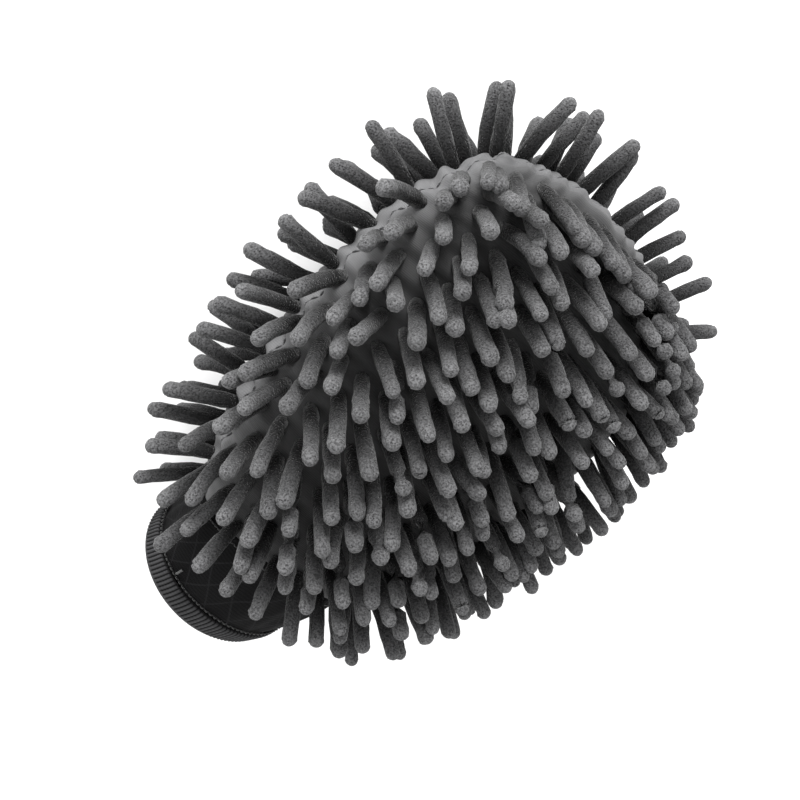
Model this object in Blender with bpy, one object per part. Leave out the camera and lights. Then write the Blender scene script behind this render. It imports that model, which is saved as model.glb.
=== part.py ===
"""Chenille wash mitt: a plump two-panel pocket covered in rows of soft fingers, with a knitted elastic cuff.

The mitt lies on its back panel. X runs across the mitt, Y from the cuff (-Y) to the fingertip end (+Y) and
Z up through the front panel. Lengths are in millimetres until the meshes are made. The origin ends at the
bottom centre of the whole mitt.
"""

import bpy
import numpy as np

MM = 0.001

# Pocket outline, from the wrist seam at y = 0 to the middle of the end seam
POCKET_LENGTH = 213.0
POCKET_WIDTH = 162.0
POCKET_THICKNESS = 74.0
OUTLINE_STATIONS = (0.0, 0.10, 0.22, 0.38, 0.67, 0.87, 1.0)
OUTLINE_WIDTHS = (0.56, 0.71, 0.845, 0.95, 1.0, 0.93, 0.82)
END_BOW = 20.0
END_ROUNDNESS = 5.5
SECTION_POWER = 2.3
WRIST_FULLNESS = 0.76
WRIST_BLEND = 0.40
SAG = 9.0
SAG_REACH = 0.36

# Cloth layers, from the outside in
CLOTH = 1.2
WADDING = 2.4
LINING = 0.8
LAYER_GAP = 0.3
PANEL_GAP = 0.3
ACROSS_CELLS = 12
ALONG_CELLS = 11

# Chenille rows
ROWS_PER_PANEL = 18
FINGER_PITCH = 12.2
FINGER_SIDE = 6.1
FINGER_LENGTH = 33.0
FINGER_DROOP = 0.5
DROOP_TOWARDS = np.array([0.55, -0.70, 0.45])
TAPE_LIFT = 0.9
TAPE_THICKNESS = 1.3
SIDE_MARGIN = 5.0
END_MARGIN = 7.5
WRIST_MARGIN = 5.5

# Cuff
CUFF_LENGTH = 38.0
CUFF_TILT = 0.58
RIM_WIDTH = 83.0
RIM_HEIGHT = 70.0
CUFF_CLOTH = 1.3
HEM_LENGTH = 9.0
HEM_THICKNESS = 4.6
HEM_CLOTH = 0.9
ELASTIC_THICKNESS = 1.4
ELASTIC_WIDTH = 5.6
CUFF_SIDES = 28
SEAM_TAPE_WIDTH = 11.0
SEAM_TAPE_THICKNESS = 0.8
THREAD = 0.9
SEAM_CLEARANCE = 0.5
BARTACK = (3.6, 1.3, 1.0)

MATERIALS = {
    "chenille_pile": ((0.075, 0.075, 0.078), 1.0),
    "ground_cloth": ((0.16, 0.16, 0.165), 0.75),
    "wadding": ((0.72, 0.72, 0.70), 1.0),
    "lining": ((0.22, 0.22, 0.23), 0.8),
    "cuff_knit": ((0.016, 0.016, 0.018), 0.85),
    "cuff_rib": ((0.03, 0.03, 0.032), 0.8),
    "elastic": ((0.55, 0.55, 0.53), 0.7),
    "thread": ((0.035, 0.035, 0.038), 0.6),
    "seam_tape": ((0.05, 0.05, 0.055), 0.8),
}


def clear_scene():
    for obj in list(bpy.data.objects):
        bpy.data.objects.remove(obj, do_unlink=True)


def unit(vectors):
    return vectors / np.maximum(np.linalg.norm(vectors, axis=-1, keepdims=True), 1e-9)


def smooth_curve(stations, values, at):
    """A cubic Hermite curve through the stations, with its slopes taken from the neighbours."""
    stations, values = np.asarray(stations), np.asarray(values)
    slopes = np.gradient(values, stations)
    cell = np.clip(np.searchsorted(stations, at, side="right") - 1, 0, len(stations) - 2)
    width = stations[cell + 1] - stations[cell]
    f = (at - stations[cell]) / width
    return (
        (2 * f**3 - 3 * f**2 + 1) * values[cell]
        + (f**3 - 2 * f**2 + f) * width * slopes[cell]
        + (3 * f**2 - 2 * f**3) * values[cell + 1]
        + (f**3 - f**2) * width * slopes[cell + 1]
    )


def half_width(t):
    return POCKET_WIDTH / 2 * smooth_curve(OUTLINE_STATIONS, OUTLINE_WIDTHS, t)


def half_height(t):
    """Rises smoothly from the wrist and closes as a round end at the end seam."""
    rise = np.clip(t / WRIST_BLEND, 0, 1) ** 0.8
    fullness = WRIST_FULLNESS + (1 - WRIST_FULLNESS) * rise * (2 - rise)
    return POCKET_THICKNESS / 2 * fullness * np.sqrt(np.clip(1 - t**END_ROUNDNESS, 0, 1))


def pocket_surface(angle, t):
    """Outer face of the ground cloth. angle 0 is the near side seam, pi the far one; t runs from wrist to end."""
    side = -np.cos(angle)
    x = half_width(t) * np.sign(side) * np.abs(side) ** (2 / SECTION_POWER)
    z = half_height(t) * np.sin(angle) ** (2 / SECTION_POWER)
    y = POCKET_LENGTH * t - END_BOW * side**2 * t**3
    return np.stack([x, y, z + PANEL_GAP / 2], axis=-1)


def pocket_normal(angle, t):
    """Outward directions from small steps along the surface; level all along the seams, where the face closes."""
    step = 1e-3
    seam_angle = (angle < 1e-6) | (angle > np.pi - 1e-6)
    seam_end = t > 1 - 1e-6
    a = np.clip(angle, 0.02, np.pi - 0.02)
    b = np.clip(t, step, 0.985)
    across = pocket_surface(a + step, b) - pocket_surface(a - step, b)
    along = pocket_surface(a, b + step) - pocket_surface(a, b - step)
    normal = unit(np.cross(across, along))
    normal[..., 2] = np.where(seam_angle | seam_end, 0.0, normal[..., 2])
    return unit(normal)


def evenly_spaced(curve, count):
    """The places in 0..1 at which a curve's length is cut into equal parts."""
    fine = np.linspace(0, 1, 600)
    points = curve(fine)
    length = np.concatenate([[0], np.cumsum(np.linalg.norm(np.diff(points, axis=0), axis=1))])
    return np.interp(np.linspace(0, length[-1], count), length, fine), length[-1]


def panel_grid():
    """Angles and lengthwise places of the grid that all the cloth layers share."""
    angles, _ = evenly_spaced(lambda f: pocket_surface(np.pi * f, np.full_like(f, 0.5)), ACROSS_CELLS + 1)
    places, _ = evenly_spaced(lambda f: pocket_surface(np.full_like(f, np.pi / 2), f), ALONG_CELLS + 1)
    return np.meshgrid(np.pi * angles, places, indexing="ij")


def grid_faces(rows, columns, start=0):
    """Two triangles for each cell. The cut runs towards the middle of the end, the same way in every layer."""
    index = start + np.arange(rows * columns).reshape(rows, columns)
    a, b, c, d = index[:-1, :-1], index[1:, :-1], index[1:, 1:], index[:-1, 1:]
    near = (np.arange(rows - 1) < (rows - 1) // 2)[:, None, None]
    first = np.where(near, np.stack([a, b, d], axis=-1), np.stack([a, b, c], axis=-1))
    second = np.where(near, np.stack([b, c, d], axis=-1), np.stack([a, c, d], axis=-1))
    return np.concatenate([first.reshape(-1, 3), second.reshape(-1, 3)])


def border(rows, columns):
    """Index numbers round the edge of a grid, in order."""
    index = np.arange(rows * columns).reshape(rows, columns)
    return np.concatenate([index[:, 0], index[-1, 1:], index[:-1, -1][::-1], index[0, 1:-1][::-1]])


def panel_layer(depth, thickness, back):
    """One closed shell between two depths below the outer face."""
    angle, t = panel_grid()
    base, normal = pocket_surface(angle, t), pocket_normal(angle, t)
    rows, columns = angle.shape
    outer = (base - depth * normal).reshape(-1, 3)
    inner = (base - (depth + thickness) * normal).reshape(-1, 3)
    outer[:, 2] = np.maximum(outer[:, 2], PANEL_GAP / 2)
    inner[:, 2] = np.maximum(inner[:, 2], PANEL_GAP / 2)
    faces = [tuple(face) for face in grid_faces(rows, columns)]
    faces += [tuple(face[::-1]) for face in grid_faces(rows, columns, rows * columns)]
    edge = border(rows, columns)
    beyond = np.roll(edge, -1)
    faces += [(b, a, a + rows * columns, b + rows * columns) for a, b in zip(edge, beyond)]
    points = np.concatenate([outer, inner])
    return flipped(points, faces) if back else (points, faces)


def flipped(points, faces):
    """The same shape on the back panel: turned over through the seam plane."""
    return points * np.array([1, 1, -1]), [tuple(face[::-1]) for face in faces]


def row_places():
    """Lengthwise places of the rows, evenly spaced over the panel between its two margins."""
    places, length = evenly_spaced(lambda f: pocket_surface(np.full_like(f, np.pi / 2), f), 600)
    distance = np.linspace(0, length, 600)
    wanted = np.linspace(WRIST_MARGIN, length - END_MARGIN, ROWS_PER_PANEL)
    return np.interp(wanted, distance, places)


def finger_direction(normal, back):
    droop = DROOP_TOWARDS * (np.array([1, 1, -1]) if back else 1)
    return unit(normal + FINGER_DROOP * droop)


def sagged(points):
    """Lowers the cuff end: more and more from SAG_REACH to the wrist, then on a straight slope out to the rim."""
    reach = SAG_REACH * POCKET_LENGTH
    back_from = (reach - points[:, 1]) / reach
    drop = SAG * np.where(back_from < 1, np.clip(back_from, 0, 1) ** 2, 2 * back_from - 1)
    return points - drop[:, None] * np.array([0, 0, 1])


def chenille_row(place, shift, back):
    """A stitched tape across the panel with soft square fingers standing on it."""

    def curve(f):
        return pocket_surface(np.pi * f, np.full_like(f, place))

    fine = np.linspace(0, 1, 600)
    points = curve(fine)
    length = np.concatenate([[0], np.cumsum(np.linalg.norm(np.diff(points, axis=0), axis=1))])
    usable = length[-1] - 2 * SIDE_MARGIN - FINGER_SIDE
    count = int((usable - shift * FINGER_PITCH) // FINGER_PITCH) + 1
    first = (length[-1] - (count - 1) * FINGER_PITCH) / 2
    middles = first + FINGER_PITCH * np.arange(count)
    ends = (middles[:, None] + np.array([-0.5, 0.5]) * FINGER_SIDE).reshape(-1)
    angle = np.pi * np.interp(ends, length, fine)
    t = np.full_like(angle, place)
    base, normal = pocket_surface(angle, t), pocket_normal(angle, t)
    run = unit(np.gradient(base, axis=0))
    width = unit(np.cross(normal, run)) * FINGER_SIDE / 2
    low, high = base + TAPE_LIFT * normal, base + (TAPE_LIFT + TAPE_THICKNESS) * normal
    section = np.stack([low + width, low - width, high - width, high + width], axis=1)
    middle_normal = unit(normal[0::2] + normal[1::2])
    stand = finger_direction(middle_normal, back) * FINGER_LENGTH
    foot = section.reshape(count, 2, 4, 3)
    tips = np.stack([foot[:, 0, 2], foot[:, 1, 2], foot[:, 1, 3], foot[:, 0, 3]], axis=1) + stand[:, None]
    stations = 2 * count
    vertices = np.concatenate([section.reshape(-1, 3), tips.reshape(-1, 3)])
    faces = [(0, 1, 2, 3), tuple(4 * (stations - 1) + k for k in (3, 2, 1, 0))]
    for i in range(stations - 1):
        a, b = 4 * i, 4 * (i + 1)
        sides = [(0, 1), (1, 2), (3, 0)] if i % 2 == 0 else [(0, 1), (1, 2), (2, 3), (3, 0)]
        faces += [(a + p, b + p, b + q, a + q) for p, q in sides]
        if i % 2 == 0:
            tip = 4 * stations + 2 * i
            root = (a + 2, b + 2, b + 3, a + 3)
            faces += [(root[k], root[(k + 1) % 4], tip + (k + 1) % 4, tip + k) for k in range(4)]
            faces.append((tip, tip + 1, tip + 2, tip + 3))
    return flipped(vertices, faces) if back else (vertices, faces)


def cuff_spine(distance):
    """Middle line of the cuff, bending down from the wrist, with the way it runs and its upward direction."""
    fine = np.linspace(0, CUFF_LENGTH, 400)
    tilt = CUFF_TILT * fine / CUFF_LENGTH
    step = fine[1] - fine[0]
    y = -np.concatenate([[0], np.cumsum(np.cos(tilt[:-1]) * step)])
    z = -np.concatenate([[0], np.cumsum(np.sin(tilt[:-1]) * step)])
    here = np.interp(distance, fine, tilt)
    middle = np.stack([0 * here, np.interp(distance, fine, y), np.interp(distance, fine, z)], axis=-1)
    return middle, np.stack([0 * here, -np.sin(here), np.cos(here)], axis=-1)


def cuff_ring(distance, inward, sides=CUFF_SIDES):
    """An oval ring round the spine at one distance from the wrist, set in from the cuff's outer face."""
    f = distance / CUFF_LENGTH
    blend = f * f * (3 - 2 * f)
    wrist = (half_width(np.array(0.0)), half_height(np.array(0.0)))
    half_x = wrist[0] + (RIM_WIDTH / 2 - wrist[0]) * blend - inward
    half_z = wrist[1] + (RIM_HEIGHT / 2 - wrist[1]) * blend - inward
    turn = 2 * np.pi * np.arange(sides) / sides
    middle, up = cuff_spine(np.array(distance))
    power = 2 / SECTION_POWER + (1 - 2 / SECTION_POWER) * blend
    c, s = np.cos(turn), np.sin(turn)
    x = half_x * np.sign(c) * np.abs(c) ** power
    z = half_z * np.sign(s) * np.abs(s) ** power
    return middle + x[:, None] * np.array([1.0, 0, 0]) + z[:, None] * up


def swept_ring(profile, sides=CUFF_SIDES):
    """A closed profile of (distance, inward) pairs carried right round the cuff."""
    vertices = np.stack([cuff_ring(d, i, sides) for d, i in profile], axis=1)
    count = len(profile)
    index = np.arange(sides * count).reshape(sides, count)
    beside, ahead = np.roll(index, -1, axis=0), np.roll(index, -1, axis=1)
    quads = np.stack([index, ahead, np.roll(beside, -1, axis=1), beside], axis=-1)
    return vertices.reshape(-1, 3), [tuple(face) for face in quads.reshape(-1, 4)]


def tube_profile(start, end, inward, thickness, steps):
    outer = [(d, inward) for d in np.linspace(start, end, steps)]
    inner = [(d, inward + thickness) for d in np.linspace(end, start, steps)]
    return outer + inner


def cuff_knit_tube():
    return swept_ring(tube_profile(1.0, CUFF_LENGTH - HEM_LENGTH - LAYER_GAP, 0.0, CUFF_CLOTH, 6))


def cuff_rib_band():
    """The rim's ribbed hem: folded over, with room inside for the elastic."""
    start, end = CUFF_LENGTH - HEM_LENGTH, CUFF_LENGTH
    wall = HEM_CLOTH
    lift = (HEM_THICKNESS - CUFF_CLOTH) / 2
    profile = [
        (start, -lift),
        (end - 1.2, -lift),
        (end, -lift + 1.2),
        (end, HEM_THICKNESS - lift - 1.2),
        (end - 1.2, HEM_THICKNESS - lift),
        (start, HEM_THICKNESS - lift),
        (start, HEM_THICKNESS - lift - wall),
        (end - wall - 0.6, HEM_THICKNESS - lift - wall),
        (end - wall - 0.6, -lift + wall),
        (start, -lift + wall),
    ]
    return swept_ring(profile)


def cuff_elastic():
    middle = CUFF_CLOTH / 2
    start = CUFF_LENGTH - HEM_LENGTH + 0.8
    return swept_ring(
        tube_profile(start, start + ELASTIC_WIDTH, middle - ELASTIC_THICKNESS / 2, ELASTIC_THICKNESS, 2)
    )


def thread_ring(distance, inward):
    half = THREAD / 2
    return swept_ring(tube_profile(distance - half, distance + half, inward - half, THREAD, 2))


def hem_stitching():
    return thread_ring(CUFF_LENGTH - HEM_LENGTH - LAYER_GAP - 1.5, -THREAD / 2 - LAYER_GAP)


def wrist_stitching():
    return thread_ring(2.4, -THREAD / 2 - LAYER_GAP)


def wrist_seam_tape():
    """A band inside the wrist that covers the seam between the cuff and the ground cloth."""
    inward = CUFF_CLOTH + LAYER_GAP
    return swept_ring(tube_profile(1.6, 1.6 + SEAM_TAPE_WIDTH, inward, SEAM_TAPE_THICKNESS, 3))


def seam_stitching():
    """One thread along the near side seam, round the end and back along the far side seam."""
    near = np.linspace(0.02, 1, 16)
    end = np.linspace(0, np.pi, 12)[1:-1]
    angle = np.concatenate([0 * near, end, np.full_like(near, np.pi)])
    t = np.concatenate([near, np.ones_like(end), near[::-1]])
    base = pocket_surface(angle, t)
    base[:, 2] = 0
    run = unit(np.gradient(base, axis=0))
    out = unit(np.cross(np.array([0, 0, 1.0]), run)) * THREAD / 2
    out = -out if np.sum(out[0] * np.array([1.0, 0, 0])) > 0 else out
    up = np.array([0, 0, THREAD / 2])
    middle = base + out * (1 + 2 * SEAM_CLEARANCE / THREAD)
    section = np.stack([middle - out - up, middle + out - up, middle + out + up, middle - out + up], axis=1)
    count = len(base)
    faces = []
    for i in range(count - 1):
        a, b = 4 * i, 4 * (i + 1)
        faces += [(a + k, b + k, b + (k + 1) % 4, a + (k + 1) % 4) for k in range(4)]
    faces += [(0, 1, 2, 3), tuple(4 * (count - 1) + k for k in (3, 2, 1, 0))]
    return section.reshape(-1, 3), faces


def bartack():
    """A short bar of close stitches across the hem seam on the front."""
    length, width, height = BARTACK
    distance = CUFF_LENGTH - HEM_LENGTH - LAYER_GAP - 5.6
    middle, up = cuff_spine(np.array(distance))
    ring = cuff_ring(distance, -LAYER_GAP - 0.3, 72)
    place = ring[27]
    ahead = cuff_ring(distance + 1, -LAYER_GAP - 0.3, 72)[27] - place
    across = unit(ring[28] - ring[26])
    ahead = unit(ahead - across * np.dot(ahead, across))
    out = unit(np.cross(across, ahead))
    out = out if np.dot(out, place - middle) > 0 else -out
    corners = [
        place + ahead * length * (i - 0.5) + across * width * (j - 0.5) + out * height * k
        for k in (0, 1)
        for j in (0, 1)
        for i in (0, 1)
    ]
    faces = [(0, 1, 3, 2), (4, 6, 7, 5), (0, 4, 5, 1), (2, 3, 7, 6), (0, 2, 6, 4), (1, 5, 7, 3)]
    return np.array(corners), faces


def facing_out(points, faces):
    """Turns every face round if the whole closed shape has its inside out."""
    volume = 0.0
    for face in faces:
        corner = points[list(face)]
        for k in range(1, len(face) - 1):
            volume += np.dot(corner[0], np.cross(corner[k], corner[k + 1]))
    return faces if volume > 0 else [tuple(face[::-1]) for face in faces]


def all_pieces():
    """Every piece as name, material slot and (points, faces)."""
    wadding_depth = CLOTH + LAYER_GAP
    lining_depth = wadding_depth + WADDING + LAYER_GAP
    pieces = []
    for name, back in (("front", False), ("back", True)):
        pieces.append((f"{name}_ground_cloth", "ground_cloth", panel_layer(0, CLOTH, back)))
        pieces.append((f"{name}_wadding", "wadding", panel_layer(wadding_depth, WADDING, back)))
        pieces.append((f"{name}_lining", "lining", panel_layer(lining_depth, LINING, back)))
        for number, place in enumerate(row_places(), start=1):
            row = chenille_row(place, 0.5 * (number % 2), back)
            pieces.append((f"{name}_row_{number:02d}", "chenille_pile", row))
    pieces += [
        ("seam_stitching", "thread", seam_stitching()),
        ("wrist_seam_tape", "seam_tape", wrist_seam_tape()),
        ("wrist_stitching", "thread", wrist_stitching()),
        ("cuff_knit_tube", "cuff_knit", cuff_knit_tube()),
        ("cuff_rib_band", "cuff_rib", cuff_rib_band()),
        ("cuff_elastic", "elastic", cuff_elastic()),
        ("cuff_hem_stitching", "thread", hem_stitching()),
        ("cuff_bartack", "thread", bartack()),
    ]
    return pieces


def make_material(name):
    colour, roughness = MATERIALS[name]
    material = bpy.data.materials.new(name)
    material.use_nodes = True
    shader = material.node_tree.nodes["Principled BSDF"]
    shader.inputs["Base Color"].default_value = (*colour, 1.0)
    shader.inputs["Roughness"].default_value = roughness
    material.diffuse_color = (*colour, 1.0)
    return material


def make_object(name, slot, points, faces, materials):
    mesh = bpy.data.meshes.new(name)
    mesh.from_pydata((points * MM).tolist(), [], facing_out(points, faces))
    mesh.materials.append(materials[slot])
    mesh.update()
    obj = bpy.data.objects.new(name, mesh)
    bpy.context.scene.collection.objects.link(obj)
    return obj


def build():
    clear_scene()
    pieces = [(name, slot, (sagged(shape[0]), shape[1])) for name, slot, shape in all_pieces()]
    everything = np.concatenate([shape[0] for _, _, shape in pieces])
    low, high = everything.min(axis=0), everything.max(axis=0)
    origin = np.array([(low[0] + high[0]) / 2, (low[1] + high[1]) / 2, low[2]])
    materials = {name: make_material(name) for name in MATERIALS}
    for name, slot, (points, faces) in pieces:
        make_object(name, slot, points - origin, faces, materials)


build()
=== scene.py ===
"""Looks of the chenille wash mitt: pebbled fingers in rows, puckered cloth, wadding, lining, ribbed cuff."""

import bpy
import numpy as np
from mathutils import Matrix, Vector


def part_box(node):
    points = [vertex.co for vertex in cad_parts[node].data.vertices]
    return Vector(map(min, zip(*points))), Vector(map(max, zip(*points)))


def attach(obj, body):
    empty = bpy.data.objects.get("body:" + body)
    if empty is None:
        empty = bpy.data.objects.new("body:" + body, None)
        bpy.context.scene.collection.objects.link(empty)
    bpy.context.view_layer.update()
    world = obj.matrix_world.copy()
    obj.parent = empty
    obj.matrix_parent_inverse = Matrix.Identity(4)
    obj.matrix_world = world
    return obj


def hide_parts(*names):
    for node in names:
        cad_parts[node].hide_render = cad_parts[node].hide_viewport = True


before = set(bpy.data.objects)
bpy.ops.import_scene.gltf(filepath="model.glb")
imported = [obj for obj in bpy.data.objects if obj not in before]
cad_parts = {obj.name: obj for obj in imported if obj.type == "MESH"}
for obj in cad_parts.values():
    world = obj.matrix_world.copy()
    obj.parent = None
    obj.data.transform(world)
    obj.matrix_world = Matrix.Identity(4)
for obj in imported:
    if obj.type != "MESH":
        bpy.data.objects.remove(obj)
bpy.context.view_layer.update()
MM = 0.001

# ---------------------------------------------------------------- sizes taken from the frame
CLOTH_BOX = np.array(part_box("front_ground_cloth"))
SEAM_THREAD_RADIUS = 0.45 * MM
SEAM_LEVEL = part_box("seam_stitching")[1][2] - SEAM_THREAD_RADIUS
CENTRE = np.array([CLOTH_BOX[:, 0].mean(), CLOTH_BOX[0, 1], SEAM_LEVEL])
POCKET_WIDTH = CLOTH_BOX[1, 0] - CLOTH_BOX[0, 0]
POCKET_LENGTH = CLOTH_BOX[1, 1] - CLOTH_BOX[0, 1]
POCKET_THICKNESS = 74 * MM
FLOOR_CLEARANCE = 0.1 * MM
FLOOR_LEVEL = FLOOR_CLEARANCE - CENTRE[2]

# ---------------------------------------------------------------- pocket outline
OUTLINE_STATIONS = (0.0, 0.10, 0.22, 0.38, 0.67, 0.87, 1.0)
OUTLINE_WIDTHS = (0.56, 0.71, 0.845, 0.95, 1.0, 0.93, 0.82)
END_BOW = 20 * MM
END_ROUNDNESS = 5.5
SECTION_POWER = 2.3
WRIST_FULLNESS = 0.76
WRIST_BLEND = 0.40
SAG = 9 * MM
SAG_REACH = 0.36
SEAM_GAP = 0.1 * MM

# ---------------------------------------------------------------- cloth layers
CLOTH = 1.2 * MM
WADDING_DEPTH = 1.6 * MM
WADDING = 2.2 * MM
LINING_DEPTH = 4.2 * MM
LINING = 0.8 * MM
CLOTH_GRID = (190, 210)
WADDING_GRID = (110, 130)
LINING_GRID = (90, 110)
CLOTH_HEM = 2.9 * MM
CLOTH_HEM_REACH = 2 * MM
WADDING_START = 4 * MM

# ---------------------------------------------------------------- folds of the cloth
FOLD_SEED = 3
ROW_PUFF = 1.5 * MM
PLEAT_HEIGHT = 1.7 * MM
PLEAT_PITCH = 11.5 * MM
SIDE_PLEAT_STRETCH = 1.1
PLEAT_WANDER = 1.4
PLEAT_WANDER_PITCH = 60 * MM
END_PLEAT_REACH = 13 * MM
SIDE_PLEAT_REACH = 10 * MM
SEAM_PINCH = 1.3 * MM
SEAM_PINCH_REACH = 2.2 * MM
UNEVENNESS = 0.8 * MM
UNEVENNESS_PITCH = 34 * MM
WRIST_CALM = 8 * MM
# how far from the seams the cloth stays free of the painted shade between the fingers
UNSHADED_REACH = 13 * MM

# ---------------------------------------------------------------- fingers
ROWS = 18
FINGER_PITCH = 12.2 * MM
SIDE_MARGIN = 5.0 * MM
FIRST_FINGER = 6.5 * MM
END_MARGIN = 7.5 * MM
WRIST_MARGIN = 5.5 * MM
FINGER_LENGTH = 33.5 * MM
FINGER_RADIUS = 3.55 * MM
FINGER_SIDES = 9
FINGER_RINGS = 9
SHAFT_END = 0.86
TIP_STEPS = (0.915, 0.955, 0.982, 0.997)
TIP_START = 0.885
TIP_CAP = 0.03
ROOT_SINK = 1.2 * MM
ROOT_SLIMNESS = 0.80
ROOT_REACH = 0.25
PEBBLE = 0.17 * MM
PEBBLE_SWING = 1.6
DROOP = np.array([0.55, -0.70, 0.45])
ROOT_DROOP = 0.32
TIP_DROOP = 0.75
WRIST_PULL = np.array([-0.50, -0.50, 0.10])
WRIST_PULL_REACH = 0.10
FRONT_END_LEAN = np.array([0.0, -1.0, 0.55])
BACK_END_LEAN = np.array([0.0, 0.70, 0.50])
END_LEAN_REACH = 0.055
END_BARE = 6.5 * MM
END_BARE_REACH = 25 * MM
BACK_HOLD = 0.88

# ---------------------------------------------------------------- how much the fingers differ
ROW_WANDER = 0.003
SPACING_WANDER = 0.6 * MM
LEAN_WANDER = 0.13
CURL_WANDER = 0.11
WAIST_WANDER = 0.03
BEND_RANGE = (0.7, 1.25)
LENGTH_RANGE = (0.92, 1.06)
THICKNESS_RANGE = (0.93, 1.07)
TONE_RANGE = (0.82, 1.18)

# ---------------------------------------------------------------- cuff
CUFF_LENGTH = 38 * MM
CUFF_TILT = 0.58
RIM_WIDTH = 83 * MM
RIM_HEIGHT = 70 * MM
HEM_LENGTH = 9 * MM
HEM_START = CUFF_LENGTH - HEM_LENGTH
HEM_THICKNESS = 4.6 * MM
HEM_WALL = 0.9 * MM
LIP_LENGTH = 2.0 * MM
LIP_BOW = 1.9 * MM
CUFF_CLOTH = 1.3 * MM
TUBE_GAP = 0.3 * MM
TUBE_SIDES = 220
TUBE_STEPS = 26
GATHER_HEIGHT = 0.9 * MM
GATHER_SWELL = 0.5 * MM
RIBS = 116
RIB_HEIGHT = 0.8 * MM
SIDES_PER_RIB = 6
RING_SIDES = 160
RING_STEPS = 8
ELASTIC_SETBACK = 1.6 * MM
ELASTIC_WIDTH = 5.6 * MM
ELASTIC = 1.4 * MM
TAPE_SETBACK = 1.6 * MM
TAPE_WIDTH = 11 * MM
TAPE = 0.8 * MM

# ---------------------------------------------------------------- stitches
HEM_STITCHES = 96
WRIST_STITCHES = 110
SEAM_STITCHES = 150
STITCH_SHARE = 0.75
SEAM_STITCH_SHARE = 0.74
STITCH_RINGS = 7
STITCH_SIDES = 6
STITCH_ARCH = 0.9
STITCH_END = 0.55
HEM_THREAD = 0.8 * MM
WRIST_THREAD = 0.9 * MM
BAR_THREAD = 0.62 * MM
BAR_STITCHES = 7
BAR_LENGTH = 2.6 * MM
BAR_SETBACK = 3.8 * MM
BAR_HALF_TURN = 0.013

# ---------------------------------------------------------------- colours
PILE_COLOUR = (0.061, 0.061, 0.0623)
CLOTH_COLOUR = (0.090, 0.090, 0.092)
WADDING_COLOUR = (0.72, 0.72, 0.70)
LINING_COLOUR = (0.20, 0.20, 0.21)
CUFF_KNIT_COLOUR = (0.0036, 0.0036, 0.0038)
RIB_COLOUR = (0.0135, 0.0135, 0.014)
ELASTIC_COLOUR = (0.55, 0.55, 0.53)
TAPE_COLOUR = (0.05, 0.05, 0.055)
THREAD_COLOUR = (0.060, 0.060, 0.062)
DARK_THREAD_COLOUR = (0.006, 0.006, 0.006)
PALE_THREAD_COLOUR = (0.10, 0.10, 0.10)
FLOOR_COLOUR = (0.93, 0.93, 0.93)
# painted shade: share of its colour that the ground cloth keeps between the fingers
FINGER_SHADE_ON_CLOTH = 0.13
DIAMOND_SIZE = 0.013

rng = np.random.default_rng(11)


# ================================================================ curves and surfaces
def unit(vectors):
    """Each vector divided by its length."""
    return vectors / np.maximum(np.linalg.norm(vectors, axis=-1, keepdims=True), 1e-12)


def smooth_curve(stations, values, at):
    """Cubic Hermite curve through the stations; each slope comes from the two neighbours."""
    stations, values = np.asarray(stations), np.asarray(values)
    slopes = np.gradient(values, stations)
    cell = np.clip(np.searchsorted(stations, at, side="right") - 1, 0, len(stations) - 2)
    width = stations[cell + 1] - stations[cell]
    f = (at - stations[cell]) / width
    rise = (3 * f**2 - 2 * f**3) * values[cell + 1] + (2 * f**3 - 3 * f**2 + 1) * values[cell]
    leaving = (f**3 - 2 * f**2 + f) * width * slopes[cell]
    return rise + leaving + (f**3 - f**2) * width * slopes[cell + 1]


def half_width(t):
    """Half the pocket's width times the outline's share at each place along it."""
    return POCKET_WIDTH / 2 * smooth_curve(OUTLINE_STATIONS, OUTLINE_WIDTHS, t)


def half_height(t):
    """Half thickness: fullness rises from the wrist, times a round end, the root of 1 - t^5.5."""
    rise = np.clip(t / WRIST_BLEND, 0, 1) ** 0.8
    fullness = WRIST_FULLNESS + (1 - WRIST_FULLNESS) * rise * (2 - rise)
    return POCKET_THICKNESS / 2 * fullness * np.sqrt(np.clip(1 - t**END_ROUNDNESS, 0, 1))


def pocket_surface(angle, t):
    """Front panel's smooth face: a superellipse at each t, its end set back at the sides by a square."""
    side = -np.cos(angle)
    x = half_width(t) * np.sign(side) * np.abs(side) ** (2 / SECTION_POWER)
    z = half_height(t) * np.abs(np.sin(angle)) ** (2 / SECTION_POWER)
    y = POCKET_LENGTH * t - END_BOW * side**2 * t**3
    return np.stack([x, y, z + SEAM_GAP], axis=-1)


def pocket_normal(angle, t):
    """Cross product of small steps across and along; level on the seams, where the panels meet."""
    step, edge = 1e-3, 1e-6
    seam = (angle < edge) | (angle > np.pi - edge) | (t > 1 - edge)
    a, b = np.clip(angle, 0.02, np.pi - 0.02), np.clip(t, step, 0.985)
    across = pocket_surface(a + step, b) - pocket_surface(a - step, b)
    along = pocket_surface(a, b + step) - pocket_surface(a, b - step)
    normal = unit(np.cross(across, along))
    normal[..., 2] = np.where(seam, 0.0, normal[..., 2])
    return unit(normal)


def sagged(points):
    """Lowers the cuff end: by the square of the way from SAG_REACH to the wrist, then on a straight slope."""
    reach = SAG_REACH * POCKET_LENGTH
    back_from = (reach - points[..., 1]) / reach
    drop = SAG * np.where(back_from < 1, np.clip(back_from, 0, 1) ** 2, 2 * back_from - 1)
    return points - drop[..., None] * np.array([0.0, 0.0, 1.0])


def arc(points, axis):
    """Length run so far along one axis of a grid of points."""
    steps = np.linalg.norm(np.diff(points, axis=axis), axis=-1)
    start = np.zeros_like(np.take(steps, [0], axis=axis))
    return np.concatenate([start, np.cumsum(steps, axis=axis)], axis=axis)


FINE = np.linspace(0, 1, 600)
MIDDLE_ARC = arc(pocket_surface(np.full_like(FINE, np.pi / 2), FINE), 0)
PANEL_REACH = MIDDLE_ARC[-1]
ROW_ARCS = np.linspace(WRIST_MARGIN, PANEL_REACH - END_MARGIN, ROWS)
ROW_PLACES = np.interp(ROW_ARCS, MIDDLE_ARC, FINE)


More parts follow.
